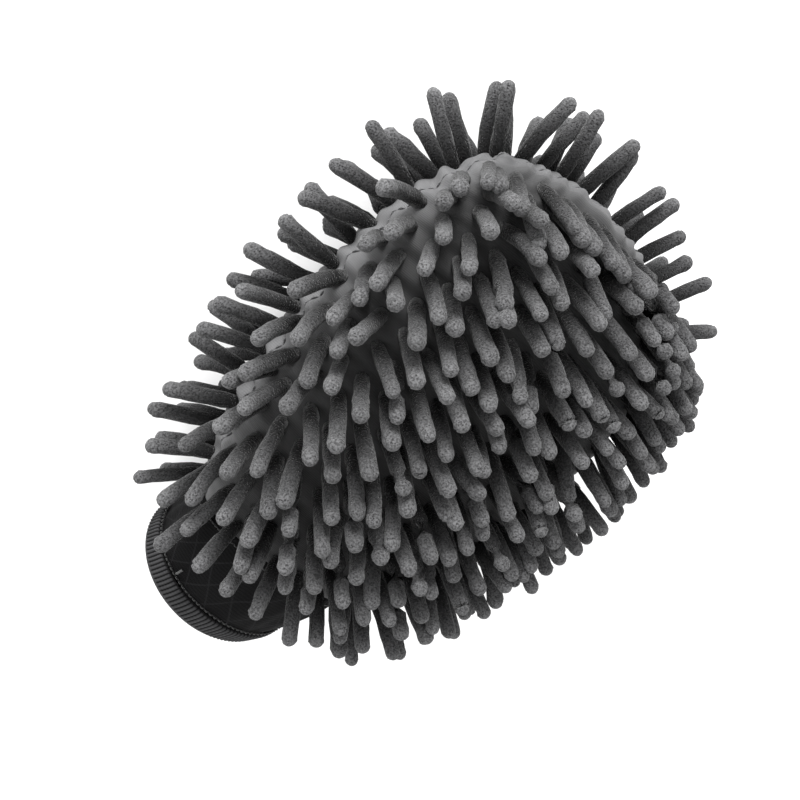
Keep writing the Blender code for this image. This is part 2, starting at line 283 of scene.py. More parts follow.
def waves(u, w, seed, pitch):
    """Mean of six level waves of about one pitch, running in seeded directions from seeded starts."""
    local = np.random.default_rng(seed)
    total, count = 0 * u, 6
    for _ in range(count):
        heading = local.uniform(0, 2 * np.pi)
        length = pitch * local.uniform(0.7, 1.5)
        run = u * np.cos(heading) + w * np.sin(heading)
        total = total + np.sin(2 * np.pi * run / length + local.uniform(0, 6))
    return total / count


def relief(angle, t, seed):
    """Puffs between the rows, pleats that fade away from the seams, a pinch at each seam, soft unevenness."""
    points = pocket_surface(angle, t)
    middle = np.interp(t, FINE, MIDDLE_ARC)
    u, w = arc(points, 0), arc(points, 1) + middle[:, :1]
    width = u[-1:, :]
    to_side, to_end = np.minimum(u, width - u), PANEL_REACH - middle
    spacing = ROW_ARCS[1] - ROW_ARCS[0]
    puff = ROW_PUFF * (0.5 - 0.5 * np.cos(2 * np.pi * (middle - ROW_ARCS[0]) / spacing))
    puff = puff * np.clip(to_end / END_MARGIN, 0, 1) * np.clip(to_side / SIDE_MARGIN, 0, 1)
    wander = 3 * (PLEAT_WANDER * waves(u, w, seed, PLEAT_WANDER_PITCH))
    side_pitch = PLEAT_PITCH * SIDE_PLEAT_STRETCH
    end_pleat = np.sin(2 * np.pi * u / PLEAT_PITCH + wander) * np.exp(-to_end / END_PLEAT_REACH)
    side_pleat = np.sin(2 * np.pi * w / side_pitch + wander) * np.exp(-to_side / SIDE_PLEAT_REACH)
    pinch = np.exp(-to_end / SEAM_PINCH_REACH) + np.exp(-to_side / SEAM_PINCH_REACH)
    soft = UNEVENNESS * waves(u, w, seed + 1, UNEVENNESS_PITCH)
    fade = np.clip(middle / WRIST_CALM, 0, 1)
    return fade * (puff + PLEAT_HEIGHT * (end_pleat + side_pleat) + soft) - SEAM_PINCH * np.clip(pinch, 0, 1)


def panel_grid(across, along, start):
    """Angles and places spaced evenly by length over the panel, from start on."""
    side = pocket_surface(np.pi * FINE, np.full_like(FINE, 0.5))
    run = arc(side, 0)
    angles = np.pi * np.interp(np.linspace(0, run[-1], across), run, FINE)
    places = np.interp(np.linspace(start, PANEL_REACH, along), MIDDLE_ARC, FINE)
    return np.meshgrid(angles, places, indexing="ij")


# ================================================================ meshes
def quads_of(rows, columns, wrap_rows=False, wrap_columns=False, start=0):
    """Four corners for each cell of a grid of points."""
    index = start + np.arange(rows * columns).reshape(rows, columns)
    if wrap_rows:
        index = np.concatenate([index, index[:1]], axis=0)
    if wrap_columns:
        index = np.concatenate([index, index[:, :1]], axis=1)
    cells = np.stack([index[:-1, :-1], index[1:, :-1], index[1:, 1:], index[:-1, 1:]], axis=-1)
    return cells.reshape(-1, 4)


def turned_out(points, faces):
    """All faces turned round if the tetrahedra they make with the origin add up to less than nothing."""
    volume = 0.0
    for block in faces:
        corner = points[block]
        for k in range(1, block.shape[1] - 1):
            area = np.cross(corner[:, k], corner[:, k + 1])
            volume += np.einsum("ij,ij->i", corner[:, 0], area).sum()
    return faces if volume > 0 else [block[:, ::-1] for block in faces]


def put_mesh(name, points, faces, material, uv=None, values=None):
    """A smooth object in the frame from arrays of points, blocks of faces, a UV map and point values."""
    points = points + CENTRE
    faces = turned_out(points - points.mean(axis=0), faces)
    mesh = bpy.data.meshes.new(name)
    mesh.vertices.add(len(points))
    mesh.vertices.foreach_set("co", points.astype(np.float32).ravel())
    corners = np.concatenate([block.ravel() for block in faces]).astype(np.int32)
    sizes = np.concatenate([np.full(len(block), block.shape[1]) for block in faces])
    sizes = sizes.astype(np.int32)
    starts = np.concatenate([[0], np.cumsum(sizes)[:-1]]).astype(np.int32)
    mesh.loops.add(len(corners))
    mesh.loops.foreach_set("vertex_index", corners)
    mesh.polygons.add(len(sizes))
    mesh.polygons.foreach_set("loop_start", starts)
    mesh.update(calc_edges=True)
    mesh.polygons.foreach_set("use_smooth", np.ones(len(sizes), dtype=bool))
    if uv is not None:
        layer = mesh.uv_layers.new(name="UVMap")
        layer.data.foreach_set("uv", uv[corners].astype(np.float32).ravel())
    for key, value in (values or {}).items():
        attribute = mesh.attributes.new(key, "FLOAT", "POINT")
        attribute.data.foreach_set("value", value.astype(np.float32))
    mesh.materials.append(material)
    mesh.validate()
    obj = bpy.data.objects.new(name, mesh)
    bpy.context.scene.collection.objects.link(obj)
    return obj


def hand_over(obj, slot, *nodes):
    """The piece rides on the mitt and stands for its CAD nodes, which are hidden; the slot is not used."""
    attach(obj, "root")
    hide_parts(*nodes)
    return obj


def turned_over(points):
    """The same points on the other side of the seam's level."""
    return points * np.array([1.0, 1.0, -1.0])


def unshaded_share(angle, t):
    """One on the side and end seams, falling as the exponential of the squared distance from the nearest; it
    marks where the cloth is free of the painted shade between the fingers.
    """
    points = pocket_surface(angle, t)
    across, middle = arc(points, 0), np.interp(t, FINE, MIDDLE_ARC)
    to_side = np.minimum(across, across[-1:, :] - across)
    nearest = np.minimum(to_side, PANEL_REACH - middle)
    return np.exp(-((nearest / UNSHADED_REACH) ** 2))


def folded_panel(angle, t):
    """The smooth face moved out along its normal by the folds, which both sides of the mitt share."""
    normal = pocket_normal(angle, t)
    return pocket_surface(angle, t) + relief(angle, t, FOLD_SEED)[..., None] * normal, normal


def cloth_shell(name, depth, thickness, grid, back, material, start=0.0, hem=0.0):
    """Two copies of the folded panel, one at each depth, joined round their edge; the hem turns in."""
    across, along = grid
    angle, t = panel_grid(across, along, start)
    face, normal = folded_panel(angle, t)
    middle = np.interp(t, FINE, MIDDLE_ARC)
    uv = np.stack([arc(pocket_surface(angle, t), 0), middle], axis=-1).reshape(-1, 2)
    turned_in = hem * np.exp(-((middle / CLOTH_HEM_REACH) ** 2))[..., None]
    outer = (face - depth * normal).reshape(-1, 3)
    inner = (face - (depth + thickness + turned_in) * normal).reshape(-1, 3)
    points = np.concatenate([outer, inner])
    points[:, 2] = np.maximum(points[:, 2], SEAM_GAP)
    count = across * along
    index = np.arange(count).reshape(across, along)
    sides = [index[:, 0], index[-1, 1:], index[:-1, -1][::-1], index[0, 1:-1][::-1]]
    edge = np.concatenate(sides)
    beyond = np.roll(edge, -1)
    rim = np.stack([beyond, edge, edge + count, beyond + count], axis=-1)
    face = quads_of(across, along)
    faces = [face, face[:, ::-1] + count, rim]
    points = turned_over(points) if back else points
    values = {"unshaded": np.tile(unshaded_share(angle, t).ravel(), 2)}
    return put_mesh(name, sagged(points), faces, material, np.concatenate([uv, uv]), values)


# ================================================================ materials
def new_material(name, roughness, sheen=0.0, sheen_roughness=0.5, specular=0.3):
    """A material whose even values sit on the shader's own sockets."""
    material = bpy.data.materials.new(name)
    material.use_nodes = True
    shader = material.node_tree.nodes["Principled BSDF"]
    shader.inputs["Roughness"].default_value = roughness
    shader.inputs["Specular IOR Level"].default_value = specular
    shader.inputs["Sheen Weight"].default_value = sheen
    shader.inputs["Sheen Roughness"].default_value = sheen_roughness
    return material, shader


class Nodes:
    """Short calls for adding and joining shader nodes in one material."""

    def __init__(self, material):
        self.tree = material.node_tree

    def add(self, kind, **settings):
        node = self.tree.nodes.new(kind)
        for key, value in settings.items():
            setattr(node, key, value)
        return node

    def feed(self, socket, value):
        if isinstance(value, (int, float, tuple)):
            socket.default_value = value
        else:
            self.tree.links.new(value, socket)

    def math(self, operation, a, b=0.0, clamp=False):
        node = self.add("ShaderNodeMath", operation=operation, use_clamp=clamp)
        self.feed(node.inputs[0], a)
        self.feed(node.inputs[1], b)
        return node.outputs[0]

    def spread(self, value, low, high, to_low, to_high):
        node = self.add("ShaderNodeMapRange")
        for socket, number in zip(node.inputs, (value, low, high, to_low, to_high)):
            self.feed(socket, number)
        return node.outputs[0]

    def place(self):
        return self.add("ShaderNodeTexCoord").outputs["Object"]

    def flat(self):
        return self.add("ShaderNodeTexCoord").outputs["UV"]

    def cells(self, vector, scale):
        node = self.add("ShaderNodeTexVoronoi", feature="F1")
        self.feed(node.inputs["Vector"], vector)
        node.inputs["Scale"].default_value = scale
        return node.outputs["Distance"]

    def noise(self, vector, scale, detail=2.0):
        node = self.add("ShaderNodeTexNoise")
        self.feed(node.inputs["Vector"], vector)
        node.inputs["Scale"].default_value = scale
        node.inputs["Detail"].default_value = detail
        return node.outputs["Fac"]

    def value_of(self, name):
        return self.add("ShaderNodeAttribute", attribute_name=name).outputs["Fac"]

    def axes(self, vector):
        node = self.add("ShaderNodeSeparateXYZ")
        self.feed(node.inputs[0], vector)
        return node.outputs[0], node.outputs[1]

    def tint(self, colour, strength):
        """The colour made lighter or darker by a strength that changes over the surface."""
        node = self.add("ShaderNodeMix", data_type="RGBA", blend_type="MULTIPLY")
        node.inputs["Factor"].default_value = 1.0
        node.inputs[6].default_value = (*colour, 1.0)
        grey = self.add("ShaderNodeCombineColor")
        for socket in grey.inputs[:3]:
            self.feed(socket, strength)
        self.tree.links.new(grey.outputs[0], node.inputs[7])
        return node.outputs[2]

    def bump(self, height, strength, distance, before=None):
        node = self.add("ShaderNodeBump")
        node.inputs["Strength"].default_value = strength
        node.inputs["Distance"].default_value = distance
        self.feed(node.inputs["Height"], height)
        if before is not None:
            self.tree.links.new(before, node.inputs["Normal"])
        return node.outputs["Normal"]


def chenille_material():
    """A light nap with small dark pits; each finger has its own tone, with painted shade darkening it towards
    its root and a painted highlight at its tip.
    """
    material, shader = new_material(
        "chenille_pile", 0.95, sheen=0.13, sheen_roughness=0.4, specular=0.08
    )
    n = Nodes(material)
    where = n.place()
    pit_scale, knot_scale, fuzz_scale = 900.0, 1150.0, 3200.0
    knots = n.noise(where, knot_scale, 1.5)
    fuzz = n.noise(where, fuzz_scale, 3.0)
    pits = n.spread(n.cells(where, pit_scale), 0.10, 0.42, 0.0, 1.0)
    pit_tone = n.spread(pits, 0.0, 1.0, 0.50, 1.10)
    nap = n.math("MULTIPLY", pit_tone, n.spread(knots, 0.36, 0.60, 0.55, 1.22))
    # painted shade towards each finger's root, where the fingers shade each other, and a painted highlight at
    # the tip
    depth = n.spread(n.math("POWER", n.value_of("along"), 2.3), 0.0, 1.0, 0.10, 1.34)
    tone = n.math("MULTIPLY", n.value_of("tone"), depth)
    grain = n.spread(fuzz, 0.3, 0.7, 0.85, 1.15)
    light = n.math("MULTIPLY", n.math("MULTIPLY", nap, tone), grain)
    n.feed(shader.inputs["Base Color"], n.tint(PILE_COLOUR, light))
    normal = n.bump(fuzz, 0.35, 0.0003)
    n.feed(shader.inputs["Normal"], n.bump(n.math("ADD", pits, knots), 0.8, 0.0007, normal))
    return material


def knit_height(n, u, w, wale, course):
    """0.6 of the size of a wave across plus 0.3 of a wave along, which the first bends into small loops."""
    wave = n.math("SINE", n.math("MULTIPLY", u, 2 * np.pi / wale))
    slant = n.math("MULTIPLY", n.math("ABSOLUTE", wave), 0.9)
    along = n.math("SINE", n.math("ADD", n.math("MULTIPLY", w, 2 * np.pi / course), slant))
    across = n.math("MULTIPLY", n.math("ABSOLUTE", wave), 0.6)
    return n.math("ADD", across, n.math("MULTIPLY", along, 0.3))


def cloth_material(name, colour, wale, course, relief_depth, sheen, shade_under_fingers=1.0):
    """A knit of fine stitches with soft cloudy tone; the share that the fingers cover is darkened by painted
    shade.
    """
    material, shader = new_material(name, 0.62, sheen=sheen, sheen_roughness=0.3, specular=0.35)
    n = Nodes(material)
    u, w = n.axes(n.flat())
    stitches = knit_height(n, u, w, wale, course)
    cloud = n.spread(n.noise(n.place(), 55.0, 3.0), 0.3, 0.7, 0.85, 1.15)
    fine = n.spread(stitches, -0.3, 0.9, 0.82, 1.10)
    light = n.math("MULTIPLY", cloud, fine)
    # painted shade on the cloth between the fingers, fading out near the seams
    if shade_under_fingers < 1.0:
        light = n.math("MULTIPLY", light, n.spread(n.value_of("unshaded"), 0.0, 1.0, shade_under_fingers, 1.0))
    n.feed(shader.inputs["Base Color"], n.tint(colour, light))
    n.feed(shader.inputs["Normal"], n.bump(stitches, 0.5, relief_depth))
    return material


def wadding_material():
    """Loose fibres: one fine noise in the tone and the bump."""
    material, shader = new_material("wadding", 1.0, sheen=0.4, specular=0.1)
    n = Nodes(material)
    fibres = n.noise(n.place(), 900.0, 6.0)
    tone = n.spread(fibres, 0.3, 0.7, 0.8, 1.1)
    n.feed(shader.inputs["Base Color"], n.tint(WADDING_COLOUR, tone))
    n.feed(shader.inputs["Normal"], n.bump(fibres, 0.6, 0.0008))
    return material


def cuff_knit_material():
    """Very fine dark knit; two sets of slanting lines cross as faint diamonds."""
    material, shader = new_material("cuff_knit", 0.85, sheen=0.006, specular=0.06)
    n = Nodes(material)
    u, w = n.axes(n.flat())
    stitches = knit_height(n, u, w, 0.0016, 0.0012)
    lines, half_line = 0.0, 0.035
    for slope in (1.0, -1.0):
        slanted = n.math("ADD", u, n.math("MULTIPLY", w, slope))
        band = n.math("FRACT", n.math("DIVIDE", slanted, DIAMOND_SIZE))
        near = n.math("ABSOLUTE", n.math("SUBTRACT", band, 0.5))
        lines = n.math("MAXIMUM", n.math("LESS_THAN", near, half_line), lines)
    tone = n.spread(stitches, -0.3, 0.9, 0.55, 1.25)
    light = n.math("ADD", tone, n.math("MULTIPLY", lines, 1.3))
    n.feed(shader.inputs["Base Color"], n.tint(CUFF_KNIT_COLOUR, light))
    n.feed(shader.inputs["Normal"], n.bump(n.math("ADD", stitches, lines), 0.6, 0.0003))
    return material


def rib_material():
    """Painted highlight on the ribs' crowns and painted shade in their grooves, small stitches along each, and
    a smooth lip painted lighter than the inside of the hem.
    """
    material, shader = new_material("cuff_rib", 0.85, sheen=0.015, specular=0.08)
    n = Nodes(material)
    u, w = n.axes(n.flat())
    crown_light = n.value_of("crown_light")
    loop_pitch = 0.0013
    loops = n.math("SINE", n.math("MULTIPLY", w, 2 * np.pi / loop_pitch))
    # painted highlight on the rib crowns and the lip's front, painted shade in the grooves and inside the hem
    tone = n.spread(crown_light, 0.25, 1.0, 0.12, 2.9)
    light = n.math("ADD", tone, n.math("MULTIPLY", loops, 0.08))
    cloud = n.spread(n.noise(n.place(), 120.0), 0.3, 0.7, 0.85, 1.15)
    n.feed(shader.inputs["Base Color"], n.tint(RIB_COLOUR, n.math("MULTIPLY", light, cloud)))
    n.feed(shader.inputs["Normal"], n.bump(loops, 0.35, 0.0002))
    return material


def thread_material(name, colour):
    """Twisted thread: slanting ply lines from a wave on the piece's own length and turn."""
    material, shader = new_material(name, 0.55, sheen=0.15, specular=0.4)
    n = Nodes(material)
    u, w = n.axes(n.flat())
    lengthways = n.math("MULTIPLY", u, 2 * np.pi * 3)
    twist = n.math("SINE", n.math("ADD", lengthways, n.math("MULTIPLY", w, 2 * np.pi * 2)))
    n.feed(shader.inputs["Base Color"], n.tint(colour, n.spread(twist, -1.0, 1.0, 0.6, 1.2)))
    n.feed(shader.inputs["Normal"], n.bump(twist, 0.5, 0.0002))
    return material


def floor_material():
    """A pale floor with a very faint cloud in its tone."""
    material, shader = new_material("pale_floor", 0.9, specular=0.1)
    n = Nodes(material)
    soft = n.noise(n.place(), 3.0)
    tone = n.spread(soft, 0.3, 0.7, 0.995, 1.0)
    n.feed(shader.inputs["Base Color"], n.tint(FLOOR_COLOUR, tone))
    return material


# ================================================================ fingers
def row_roots(place, shift):
    """Angles of one row's fingers, spaced evenly between the seams, half a space over on every other row."""
    run = arc(pocket_surface(np.pi * FINE, np.full_like(FINE, place)), 0)
    spaces = int(round((run[-1] - 2 * FIRST_FINGER) / FINGER_PITCH))
    pitch = (run[-1] - 2 * FIRST_FINGER) / spaces
    count = spaces + 1 if shift == 0 else spaces
    middles = FIRST_FINGER + pitch * (np.arange(count) + shift)
    middles = middles + rng.normal(0, SPACING_WANDER, count)
    return np.pi * np.interp(middles, run, FINE)


SHAFT_STEPS = np.linspace(0, SHAFT_END, FINGER_RINGS - len(TIP_STEPS))
FINGER_STEPS = np.concatenate([SHAFT_STEPS, TIP_STEPS])


def finger_paths(root, normal, droop):
    """Paths that leave along the normal and turn steadily to the droop: (finger, ring, xyz) and headings."""
    count = len(root)
    lean = unit(normal + rng.normal(0, LEAN_WANDER, (count, 3)))
    s = FINGER_STEPS
    pull = ROOT_DROOP + (TIP_DROOP - ROOT_DROOP) * s
    pull = pull[None, :] * rng.uniform(*BEND_RANGE, (count, 1))
    curl = rng.normal(0, CURL_WANDER, (count, 1, 3)) * s[None, :, None]
    heading = unit(lean[:, None, :] + pull[..., None] * droop[:, None, :] + curl)
    length = FINGER_LENGTH * rng.uniform(*LENGTH_RANGE, (count, 1, 1))
    step = length * np.diff(s, prepend=0)[None, :, None]
    travelled = np.cumsum(heading * step, axis=1)
    start = root[:, None, :] - ROOT_SINK * normal[:, None, :]
    return start + travelled - travelled[:, :1], heading


def finger_radii(count):
    """Radius by ring: slim at the sewn root, full by a quarter, and a round end as the root of 1 - q^2."""
    s = FINGER_STEPS
    root = ROOT_SLIMNESS + (1 - ROOT_SLIMNESS) * np.clip(s / ROOT_REACH, 0, 1)
    q = np.clip((s - TIP_START) / (1 - TIP_START), 0, 0.985)
    full = root * np.sqrt(1 - q**2)
    thickness = FINGER_RADIUS * rng.uniform(*THICKNESS_RANGE, (count, 1))
    waist = 1 + WAIST_WANDER * rng.normal(0, 1, (count, FINGER_RINGS)) * (s < TIP_START)
    return thickness * full[None, :] * waist


def finger_directions(angle, t, place, back):
    """Root, leaving direction and droop of each finger; the lean at each end of the mitt falls off from it."""
    normal = pocket_normal(angle, t)
    root = pocket_surface(angle, t)
    near_end = np.exp(-(1 - place) / END_LEAN_REACH)
    if back:
        root, normal = turned_over(root), turned_over(normal)
        normal = unit(normal + BACK_END_LEAN * near_end)
    else:
        normal = unit(normal + FRONT_END_LEAN * near_end)
    droop = DROOP + WRIST_PULL * np.exp(-place / WRIST_PULL_REACH)
    droop = droop * (1 - BACK_HOLD * back * np.sqrt(1 - np.abs(normal[:, 2:3])))
    return sagged(root), normal, droop


def finger_faces(count):
    """Faces of many tubes: four-sided cells round each, and a fan of triangles at the tip and at the foot."""
    per = FINGER_RINGS * FINGER_SIDES
    starts = (np.arange(count) * (per + 2))[:, None, None]
    tube = quads_of(FINGER_RINGS, FINGER_SIDES, wrap_columns=True)[None] + starts
    edge = np.arange(FINGER_SIDES)
    after = np.roll(edge, -1)
    last = per - FINGER_SIDES
    cap = np.stack([last + after, last + edge, np.full_like(edge, per)], axis=-1)[None] + starts
    base = np.stack([edge, after, np.full_like(edge, per + 1)], axis=-1)[None] + starts
    return [tube.reshape(-1, 4), cap.reshape(-1, 3), base.reshape(-1, 3)]


def chenille_row(name, node, place, shift, back, material):
    """Pebbled tubes: a ring round each step of each path, every point lifted or sunk by its own pebble."""
    to_end = PANEL_REACH - END_MARGIN - np.interp(place, FINE, MIDDLE_ARC)
    if not back:
        place = place - END_BARE / POCKET_LENGTH * np.exp(-to_end / END_BARE_REACH)
    angle = row_roots(place, shift)
    count = len(angle)
    t = np.clip(place + rng.normal(0, ROW_WANDER, count), 0.01, 0.99)
    path, heading = finger_paths(*finger_directions(angle, t, place, back))
    radius = finger_radii(count)
    helper = np.where(np.abs(heading[..., 2:3]) < 0.9, [0.0, 0.0, 1.0], [1.0, 0.0, 0.0])
    first = unit(np.cross(helper, heading))
    second = np.cross(heading, first)
    half_over = 0.5 * (np.arange(FINGER_RINGS)[:, None] % 2)
    turn = 2 * np.pi * (np.arange(FINGER_SIDES)[None, :] + half_over) / FINGER_SIDES
    swing = rng.uniform(-PEBBLE_SWING, PEBBLE_SWING, (count, FINGER_RINGS, FINGER_SIDES))
    reach = radius[..., None] + PEBBLE * swing * (radius / FINGER_RADIUS)[..., None] ** 2
    around = np.cos(turn)[None, ..., None] * first[:, :, None, :]
    around = around + np.sin(turn)[None, ..., None] * second[:, :, None, :]
    ring = path[:, :, None, :] + reach[..., None] * around
    tip = path[:, -1] + heading[:, -1] * TIP_CAP * FINGER_RADIUS
    foot = path[:, 0]
    per = FINGER_RINGS * FINGER_SIDES
    points = np.concatenate([ring.reshape(count, per, 3), tip[:, None], foot[:, None]], axis=1)
    points[..., 2] = np.maximum(points[..., 2], FLOOR_LEVEL)
    s = np.repeat(FINGER_STEPS, FINGER_SIDES)
    along = np.tile(np.concatenate([s, [1.0, 0.0]]), count)
    tone = np.repeat(rng.uniform(*TONE_RANGE, count), per + 2)
    values = {"along": along, "tone": tone}
    obj = put_mesh(name, points.reshape(-1, 3), finger_faces(count), material, values=values)
    return hand_over(obj, "chenille_pile", node)


def all_rows(material):
    """Every row of both sides, the odd ones half a space over."""
    for back, side in ((False, "front"), (True, "back")):
        for number, place in enumerate(ROW_PLACES, start=1):
            name = f"{side}_fingers_{number:02d}"
            node = f"{side}_row_{number:02d}"
            chenille_row(name, node, place, 0.5 * (number % 2), back, material)


# ================================================================ cuff
def cuff_spine(distance):
    """Middle line of the cuff, an arc of a circle: its tilt grows evenly with the distance from the wrist."""
    tilt = CUFF_TILT * distance / CUFF_LENGTH
    radius = CUFF_LENGTH / CUFF_TILT
    middle = np.stack([0 * tilt, -radius * np.sin(tilt), -radius * (1 - np.cos(tilt))], axis=-1)
    return middle, np.stack([0 * tilt, -np.sin(tilt), np.cos(tilt)], axis=-1)


def cuff_surface(distance, turn, inward):
    """Ovals round the spine, from the wrist's rounded oval to the rim's plain one, set in by inward."""
    f = distance / CUFF_LENGTH
    blend = f * f * (3 - 2 * f)
    wrist_x, wrist_z = half_width(np.array(0.0)), half_height(np.array(0.0))
    half_x = wrist_x + (RIM_WIDTH / 2 - wrist_x) * blend - inward
    half_z = wrist_z + (RIM_HEIGHT / 2 - wrist_z) * blend - inward
    power = 2 / SECTION_POWER + (1 - 2 / SECTION_POWER) * blend
    middle, up = cuff_spine(distance)
    c, s = np.cos(turn), np.sin(turn)
    x = half_x * np.sign(c) * np.abs(c) ** power
    z = half_z * np.sign(s) * np.abs(s) ** power
    return middle + x[..., None] * np.array([1.0, 0, 0]) + z[..., None] * up


def ring_of_profile(name, profile, sides, material, lift=None, crown_light=None):
    """A closed profile of (distance, inward) carried round the cuff, each point moved out by its lift."""
    round_length = np.pi * (RIM_WIDTH + RIM_HEIGHT) / 2
    profile = np.array(profile)
    turn = 2 * np.pi * np.arange(sides) / sides
    distance = np.broadcast_to(profile[:, 0], (sides, len(profile)))
    inward = np.broadcast_to(profile[:, 1], (sides, len(profile)))
    turns = np.broadcast_to(turn[:, None], distance.shape)
    index = np.arange(len(profile))[None, :]
    if lift is not None:
        inward = inward - lift(turns, distance, index)
    points = cuff_surface(distance, turns, inward)
    uv = np.stack([turns / (2 * np.pi) * round_length, distance], axis=-1).reshape(-1, 2)
    faces = [quads_of(sides, len(profile), wrap_rows=True, wrap_columns=True)]
    values = {} if crown_light is None else {"crown_light": crown_light(turns, index).ravel()}
    return put_mesh(name, sagged(points).reshape(-1, 3), faces, material, uv, values)


def tube_profile(start, end, inward, thickness, steps):
    """Steps out along the outer face and back along the inner one."""
    outer = [(d, inward) for d in np.linspace(start, end, steps)]
    inner = [(d, inward + thickness) for d in np.linspace(end, start, steps)]
    return outer + inner


def cuff_tube(material):
    """The knitted tube, with soft gathers: waves round the cuff that fade towards the rim and the wrist."""
    profile = tube_profile(TUBE_GAP, HEM_START - TUBE_GAP, 0, CUFF_CLOTH, TUBE_STEPS)

    def gathers(turn, distance, _):
        fade = np.clip(1.15 - distance / CUFF_LENGTH, 0, 1) * np.clip(distance / (5 * MM), 0, 1)
        close = GATHER_HEIGHT * np.sin(17 * turn + 0.8) * np.sin(5 * turn)
        return fade * (close + GATHER_SWELL * np.sin(9 * turn + 2))

    obj = ring_of_profile("cuff_tube", profile, TUBE_SIDES, material, gathers)
    return hand_over(obj, "cuff_knit", "cuff_knit_tube")


def cuff_rim(material):
    """The hem: ribs as rounded waves on the band, then a rolled lip, an inner wall and a hollow fold."""
    start, end = HEM_START, CUFF_LENGTH
    low = -(HEM_THICKNESS - CUFF_CLOTH) / 2
    high = HEM_THICKNESS + low
    band = [(d, low + 0.2 * MM) for d in np.linspace(start, end - LIP_LENGTH, 7)]
    bend = np.linspace(0, np.pi, 11)
    middle, reach = (low + high) / 2, (high - low) / 2
    lip = [(end - LIP_BOW + LIP_BOW * np.sin(a), middle - reach * np.cos(a)) for a in bend]
    inner = [(d, high) for d in np.linspace(end - LIP_LENGTH, start, 6)]
    shallow, deep = start + MM, end - 1.6 * MM
    top, bottom = high - HEM_WALL, low + HEM_WALL
    fold = [(start, 1.1 * MM), (shallow, top), (deep, top), (deep, bottom), (shallow, bottom)]
    profile = band + lip + inner + fold + [(start, 0.2 * MM)]
    count, lip_front = len(band), len(bend) // 2 + 1

    def wave(turn):
        return np.abs(np.cos(RIBS * turn / 2)) ** 0.8

    def lift(turn, _, index):
        ribs = np.where(index < count, RIB_HEIGHT * wave(turn), 0.0)
        return ribs * np.where(index == 0, 0.4, 1.0)

    # share of painted light: the rib's wave on the band, a painted highlight on the lip's front, painted shade
    # inside the hem
    def crown_light(turn, index):
        on_lip = index < count + lip_front
        return np.where(index < count, wave(turn), np.where(on_lip, 1.25, 0.35))

    obj = ring_of_profile("cuff_rim", profile, RIBS * SIDES_PER_RIB, material, lift, crown_light)
    return hand_over(obj, "cuff_rib", "cuff_rib_band")


def plain_ring(name, node, slot, start, width, inward, thickness, material):
    """A flat band carried round the cuff."""
    profile = tube_profile(start, start + width, inward, thickness, RING_STEPS)
    obj = ring_of_profile(name, profile, RING_SIDES, material)
    return hand_over(obj, slot, node)


def stitch_line(name, starts, ends, outs, thickness, node, material):
    """Short arched threads: each runs from its start to its end as half a wave along its outward one."""
    rings, sides = STITCH_RINGS, STITCH_SIDES
    s = np.linspace(0, 1, rings)
    run = (ends - starts)[:, None, :]
    arch = outs[:, None, :] * (thickness * STITCH_ARCH * np.sin(np.pi * s))[None, :, None]
    path = starts[:, None, :] + run * s[None, :, None] + arch
    heading = unit(np.gradient(path, axis=1))
    across = unit(np.cross(heading, outs[:, None, :]))
    lift = np.cross(across, heading)
    turn = 2 * np.pi * np.arange(sides) / sides
    swell = thickness / 2 * (STITCH_END + (1 - STITCH_END) * np.sin(np.pi * s))
    around = np.cos(turn)[None, None, :, None] * across[:, :, None, :]
    around = around + np.sin(turn)[None, None, :, None] * lift[:, :, None, :]
    ring = path[:, :, None, :] + swell[None, :, None, None] * around
    count, per = len(starts), rings * sides
    offset = (np.arange(count) * per)[:, None, None]
    tube = (quads_of(rings, sides, wrap_columns=True)[None] + offset).reshape(-1, 4)
    caps = np.stack([np.arange(sides), np.arange(sides)[::-1] + per - sides])
    caps = (caps[None] + offset).reshape(-1, sides)
    uv = np.stack(np.meshgrid(s, turn / (2 * np.pi), indexing="ij"), axis=-1).reshape(-1, 2)
    uv = np.tile(uv, (count, 1))
    obj = put_mesh(name, sagged(ring).reshape(-1, 3), [tube, caps], material, uv)
    return hand_over(obj, "thread", node)


def cuff_stitches(name, node, count, distance, inward, thickness, material):
    """Stitches round the cuff at one distance, each over the same share of its own space."""
    turn = 2 * np.pi * np.arange(count) / count
    ahead = turn + 2 * np.pi * STITCH_SHARE / count
    place = np.full(count, distance)
    starts = cuff_surface(place, turn, np.full(count, inward))
    ends = cuff_surface(place, ahead, np.full(count, inward))
    middle, _ = cuff_spine(place)
    return stitch_line(name, starts, ends, unit(starts - middle), thickness, node, material)


def pocket_seam_stitches(material):
    """Stitches down the near side, round the end and back along the far side, between the panels."""
    face, outward = folded_panel(*panel_grid(*CLOTH_GRID, WADDING_START))
    path = np.concatenate([face[0], face[1:-1, -1], face[-1, ::-1]])
    normal = np.concatenate([outward[0], outward[1:-1, -1], outward[-1, ::-1]])
    path[:, 2] = 0
    run = arc(path, 0)
    begin = np.linspace(0, run[-1] - 3 * MM, SEAM_STITCHES)
    finish = begin + SEAM_STITCH_SHARE * (begin[1] - begin[0])
    thickness = 2 * SEAM_THREAD_RADIUS

    def at(length):
        return np.stack([np.interp(length, run, path[:, k]) for k in range(3)], axis=-1)

    outs = unit(np.stack([np.interp(begin, run, normal[:, k]) for k in range(3)], axis=-1))
    ends = at(begin), at(finish)
    return stitch_line("pocket_seam_thread", *ends, outs, thickness, "seam_stitching", material)


